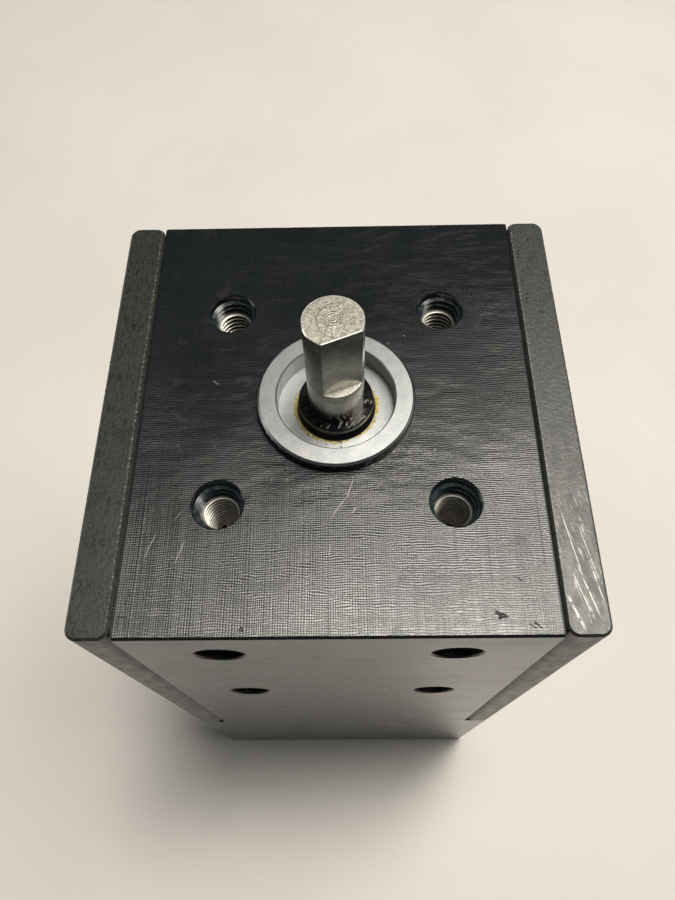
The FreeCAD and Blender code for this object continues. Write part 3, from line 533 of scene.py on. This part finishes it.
def dark_steel_surface(name, base, light, low, high):
    """Black oxide or oiled spring steel, uneven in colour, with a fine grain."""
    surface = Surface(name, Metallic=0.85)
    patches = surface.noise(0.9, 4.0)
    grain = surface.noise(8.0, 2.0)
    surface.bump(grain, 0.008)
    colour = surface.mix(surface.fade(patches, 0.35, 0.7), base, light)
    return surface.done(colour, surface.fade(grain, 0.3, 0.7, low, high))


def polished_steel_surface(name, shade, low, high):
    """Bearing steel, dowels and pressed shields, with faint rings from grinding."""
    surface = Surface(name, Metallic=1.0)
    marks = surface.rings(12.0)
    film = surface.noise(0.7, 3.0)
    surface.bump(marks, 0.002)
    colour = surface.mix(surface.fade(film, 0.35, 0.7), shade, tuple(0.86 * part for part in shade))
    return surface.done(colour, surface.fade(marks, 0.3, 0.7, low, high))


# ---------------------------------------------------------------- plastic, rubber, grease and paper

def plain_plastic_surface(name, first, second, grain_scale, low, high):
    """Machined or moulded plastic with a fine grain and slow changes of tone."""
    surface = Surface(name, Metallic=0.0, IOR=1.48)
    grain = surface.noise(grain_scale, 3.0)
    surface.bump(grain, 0.012)
    colour = surface.mix(surface.fade(surface.noise(0.25, 3.0), 0.3, 0.7), first, second)
    return surface.done(colour, surface.fade(grain, 0.3, 0.7, low, high))


def rubber_surface():
    """Glossy black rubber with short smears of grease on its upper face, most of them at the front."""
    surface = Surface("seal_rubber", Metallic=0.0, IOR=1.52)
    x, y = surface.axes()[:2]
    flecks = surface.fade(surface.noise(1.0, 2.0, (3.6, 0.9, 2.0), surface.turned(0.6)), 0.60, 0.66)
    to_front = surface.fade(y, 2.0, -3.0)
    to_right = surface.fade(x, -2.0, 1.0, 0.25, 1.0)
    smear = surface.times(flecks, surface.faces_up, to_front, to_right)
    wave = surface.noise(1.1, 2.0)
    surface.bump(wave, 0.04)
    surface.bump(smear, 0.03)
    colour = surface.mix(surface.times(smear, 0.8), (0.004, 0.004, 0.005), (0.42, 0.40, 0.34))
    return surface.done(colour, surface.fade(wave, 0.3, 0.7, 0.12, 0.26))


def grease_surface():
    """Old grease, golden where it is thin and brown where it is thick, with bright specks."""
    surface = Surface("amber_grease", Metallic=0.0, IOR=1.47, Coat_Weight=0.7, Coat_Roughness=0.12)
    lumps = surface.noise(3.4, 3.0)
    y = surface.axes()[1]
    brown = surface.fade(surface.noise(2.8, 3.0), 0.46, 0.56)
    front = surface.fade(y, -3.0, -4.6, 0.50, 1.0)
    specks = surface.fade(surface.noise(6.0, 2.0), 0.58, 0.66)
    surface.bump(lumps, 0.06)
    golden = surface.mix(surface.times(brown, front), (0.60, 0.48, 0.10), (0.20, 0.07, 0.012))
    colour = surface.mix(surface.times(specks, 0.75), golden, (0.88, 0.84, 0.60))
    return surface.done(colour, surface.fade(lumps, 0.3, 0.7, 0.12, 0.35))


def paper_surface():
    """Matt paper with a faint fibre and a slow change of tone."""
    surface = Surface("paper", Metallic=0.0, IOR=1.4)
    cloud = surface.noise(0.012, 3.0)
    fibres = surface.noise(1.2, 3.0)
    surface.bump(fibres, 0.03)
    surface.bump(cloud, 1.2)
    colour = surface.mix(surface.fade(cloud, 0.3, 0.7), (0.72, 0.692, 0.662), (0.765, 0.737, 0.703))
    return surface.done(colour, surface.fade(fibres, 0.3, 0.7, 0.75, 0.9))


# ---------------------------------------------------------------- new pieces

SHARP_ANGLE = math.radians(35)

# the threads: M5, and no thread in a hole's mouth
THREAD_PITCH = 0.8 * MM
STEPS_PER_TURN = 56
MOUTH_DEPTH = 0.35 * MM

# the inserts' wire: half its height, half the width of its crest, and its gap to the hole's wall
HALF_WIRE = 0.34 * THREAD_PITCH
WIRE_CREST = 0.05 * MM
WIRE_CLEARANCE = 0.02 * MM

# the tapped wall's ridge: half its width at the crest and at the root, how far in it reaches as a share
# of the insert's thickness, and the share of its full height that it starts with
RIDGE_CREST = 0.03 * MM
RIDGE_ROOT = 0.42 * THREAD_PITCH
RIDGE_SHARE = 0.6
FEATHER = 0.05


def make_piece(name, mesh, material, body):
    """Turns a bmesh into a shaded object that rides on a CAD body."""
    bmesh.ops.recalc_face_normals(mesh, faces=mesh.faces)
    data = bpy.data.meshes.new(name)
    mesh.to_mesh(data)
    mesh.free()
    data.shade_smooth()
    data.set_sharp_from_angle(angle=SHARP_ANGLE)
    data.materials.append(material)
    piece = bpy.data.objects.new(name, data)
    bpy.context.scene.collection.objects.link(piece)
    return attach(piece, body)


def bridge(mesh, rings, closed):
    """Joins rings of points into a skin, and caps its ends unless the rings close on themselves."""
    count = len(rings[0])
    following_rings = rings[1:] + rings[:1] if closed else rings[1:]
    for first, second in zip(rings, following_rings):
        for index in range(count):
            following = (index + 1) % count
            mesh.faces.new((first[index], first[following], second[following], second[index]))
    if not closed:
        mesh.faces.new(rings[0])
        mesh.faces.new(rings[-1])


def add_helix(mesh, placement, steps, section_at):
    """Sweeps a section down a thread; section_at gives its points, as radius and height, for each step."""
    rings = []
    for step in range(steps + 1):
        angle = 2 * math.pi * step / STEPS_PER_TURN
        drop = THREAD_PITCH * step / STEPS_PER_TURN
        ring = []
        for radius, height in section_at(step):
            point = Vector((radius * math.cos(angle), radius * math.sin(angle), height - drop))
            ring.append(mesh.verts.new(placement @ point))
        rings.append(ring)
    bridge(mesh, rings, closed=False)


def add_insert(mesh, placement, bore, outside, length):
    """One wire thread insert: a diamond-section wire wound downwards from z = 0."""
    middle = (bore + outside) / 2
    section = [(bore, -WIRE_CREST), (bore, WIRE_CREST), (middle, HALF_WIRE),
               (outside, WIRE_CREST), (outside, -WIRE_CREST), (middle, -HALF_WIRE)]
    lowered = [(radius, height - HALF_WIRE) for radius, height in section]
    turns = (length - 2 * HALF_WIRE) / THREAD_PITCH
    add_helix(mesh, placement, round(turns * STEPS_PER_TURN), lambda step: lowered)


def add_tapped_wall(mesh, placement, bore, outside, length):
    """The ridge between a tapped hole's grooves, which starts as a feather edge at its mouth."""
    def section_at(step):
        share = min(FEATHER + step / STEPS_PER_TURN, 1.0)
        inside = outside - RIDGE_SHARE * (outside - bore) * share
        flank = RIDGE_CREST + (RIDGE_ROOT - RIDGE_CREST) * share
        return [(outside, -flank), (outside, flank), (inside, RIDGE_CREST), (inside, -RIDGE_CREST)]

    add_helix(mesh, placement, round(length / THREAD_PITCH * STEPS_PER_TURN), section_at)


def make_threads(node, mount_name, face, wire, wall):
    """Real wire coils in place of a node's plain sleeves, and the threads of the holes that hold them."""
    mount = mounts[mount_name]
    low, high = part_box(node)
    axis = Vector(mount["axis"])
    side = Vector((1, 0, 0))
    up = Vector((0, 0, 1)) if abs(axis.y) > 0.5 else Vector((0, 1, 0))
    half_across = mount["dims"]["spacing_x_mm"] / 2 * MM
    half_up = mount["dims"]["spacing_y_mm"] / 2 * MM
    bore = mount["dims"]["hole_r_mm"] * MM
    outside = (high.x - low.x) / 2 - half_across
    length = (high - low).dot(Vector(map(abs, axis)))
    # how deep the inserts start, and how far above that the hole's own thread does
    sunk = face - Vector(mount["pos_m"]).dot(axis)
    first_turn = THREAD_PITCH * (math.ceil((sunk - MOUTH_DEPTH) / THREAD_PITCH) - 0.5)
    turn = axis.to_track_quat("Z", "Y").to_matrix().to_4x4()
    coils = bmesh.new()
    walls = bmesh.new()
    for across in (-half_across, half_across):
        for rise in (-half_up, half_up):
            start = Vector(mount["pos_m"]) + side * across + up * rise
            add_insert(coils, Matrix.Translation(start) @ turn, bore, outside - WIRE_CLEARANCE, length)
            mouth = start + axis * (first_turn - HALF_WIRE)
            add_tapped_wall(walls, Matrix.Translation(mouth) @ turn, bore, outside, first_turn + length)
    piece = make_piece(node.replace("inserts", "coils"), coils, wire, "housing")
    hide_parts(node)
    make_piece(node.replace("inserts", "holes"), walls, wall, "housing")


# the ring of grease: its clearance from the seal, its steps, and its section as shares of width and height
GREASE_GAP = 0.03 * MM
GREASE_STEPS = 180
GREASE_PROFILE = [(0.0, 0.0), (0.08, 0.75), (0.35, 1.0), (0.7, 0.7), (1.0, 0.0)]

# clusters of beads of grease: the angle of the middle, the spread round it, and how many
GREASE_BEADS = [(math.pi, 0.50, 55), (0.0, 0.45, 40), (-1.75, 0.40, 30), (0.8, 2.0, 25)]


def make_grease(material):
    """A thin, broken ring of grease in the corner round the seal's lip, with beads of it in clusters."""
    seal_low, seal_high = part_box("wiper_seal")
    floor = seal_low.z - GREASE_GAP
    inner = seal_high.x + GREASE_GAP
    mesh = bmesh.new()
    rings = []
    for step in range(GREASE_STEPS):
        angle = 2 * math.pi * step / GREASE_STEPS
        around = Vector((math.cos(angle), math.sin(angle), 0))
        lump = noise.fractal(around * 7.0 + Vector((0, 0, 7.3)), 0.6, 2.2, 4)
        side = around.x ** 2
        width = max(0.10 + 0.20 * side + 0.26 * lump, 0.04) * MM
        height = max(0.05 + 0.08 * side + 0.08 * lump, 0.02) * MM
        ring = []
        for share, rise in GREASE_PROFILE:
            level = Vector((0, 0, floor + rise * height))
            ring.append(mesh.verts.new(around * (inner + share * width) + level))
        rings.append(ring)
    bridge(mesh, rings, closed=True)
    chance = random.Random(11)
    for middle, spread, count in GREASE_BEADS:
        for _ in range(count):
            angle = chance.gauss(middle, spread)
            bead = chance.uniform(0.04, 0.14) * MM
            distance = inner + bead + abs(chance.gauss(0.0, 0.20)) * MM
            centre = Vector((distance * math.cos(angle), distance * math.sin(angle), floor))
            flatten = Matrix.Diagonal((1.0, 1.0, chance.uniform(0.5, 0.9), 1.0))
            bmesh.ops.create_icosphere(mesh, subdivisions=2, radius=bead,
                                       matrix=Matrix.Translation(centre) @ flatten)
    make_piece("grease_ring", mesh, material, "housing")


# ---------------------------------------------------------------- the whole scene

def paint_nodes():
    """Gives every CAD node that still shows its material."""
    paint(milled_black_surface("milled_black", TOP_SCRATCHES, TOP_NICKS), "bearing_block")
    paint(milled_black_surface("milled_black_lower"), "coupling_housing")
    left_box, right_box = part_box("left_side_plate"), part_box("right_side_plate")
    paint(worn_black_surface("worn_black_left", left_box), "left_side_plate")
    paint(worn_black_surface("worn_black_right", right_box, PLATE_SCRAPES), "right_side_plate")
    paint(moulded_black_surface(), "access_plugs")
    paint(turned_aluminium_surface("turned_ring", mounts["pilot_ring"]["dims"]["r_mm"]), "pilot_ring")
    paint(turned_aluminium_surface("turned_hub"), "upper_hub", "lower_hub")
    paint(shaft_surface(), "output_shaft")
    paint(rubber_surface(), "wiper_seal")
    paint(dark_steel_surface("black_oxide", (0.018, 0.018, 0.019), (0.045, 0.043, 0.041), 0.34, 0.48),
          "side_plate_screws", "housing_screws", "upper_hub_screw", "lower_hub_screw")
    paint(dark_steel_surface("spring_steel", (0.10, 0.095, 0.09), (0.20, 0.17, 0.13), 0.28, 0.42),
          "preload_washer", "bearing_circlip")
    paint(polished_steel_surface("bearing_steel", (0.72, 0.73, 0.75), 0.08, 0.18),
          "upper_bearing_outer_race", "upper_bearing_inner_race", "upper_bearing_balls",
          "lower_bearing_outer_race", "lower_bearing_inner_race", "lower_bearing_balls")
    paint(polished_steel_surface("shield_steel", (0.62, 0.63, 0.64), 0.24, 0.36),
          "upper_bearing_shields", "lower_bearing_shields")
    paint(polished_steel_surface("dowel_steel", (0.64, 0.64, 0.65), 0.16, 0.28), "housing_dowels")
    paint(plain_plastic_surface("cage_nylon", (0.58, 0.50, 0.34), (0.66, 0.58, 0.42), 5.0, 0.40, 0.55),
          "upper_bearing_cage", "lower_bearing_cage")
    paint(plain_plastic_surface("disc_acetal", (0.80, 0.79, 0.75), (0.86, 0.85, 0.81), 4.0, 0.32, 0.46),
          "oldham_disc")


make_camera()
make_lighting()
make_floor()
paint_nodes()
block_low, block_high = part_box("bearing_block")
hole_black = threaded_black_surface()
top_wire = drawn_wire_surface("top_threads")
make_threads("top_thread_inserts", "top_threads", block_high.z, top_wire, hole_black)
front_wire = drawn_wire_surface("front_threads")
make_threads("front_thread_inserts", "front_threads", -block_low.y, front_wire, hole_black)
make_grease(grease_surface())
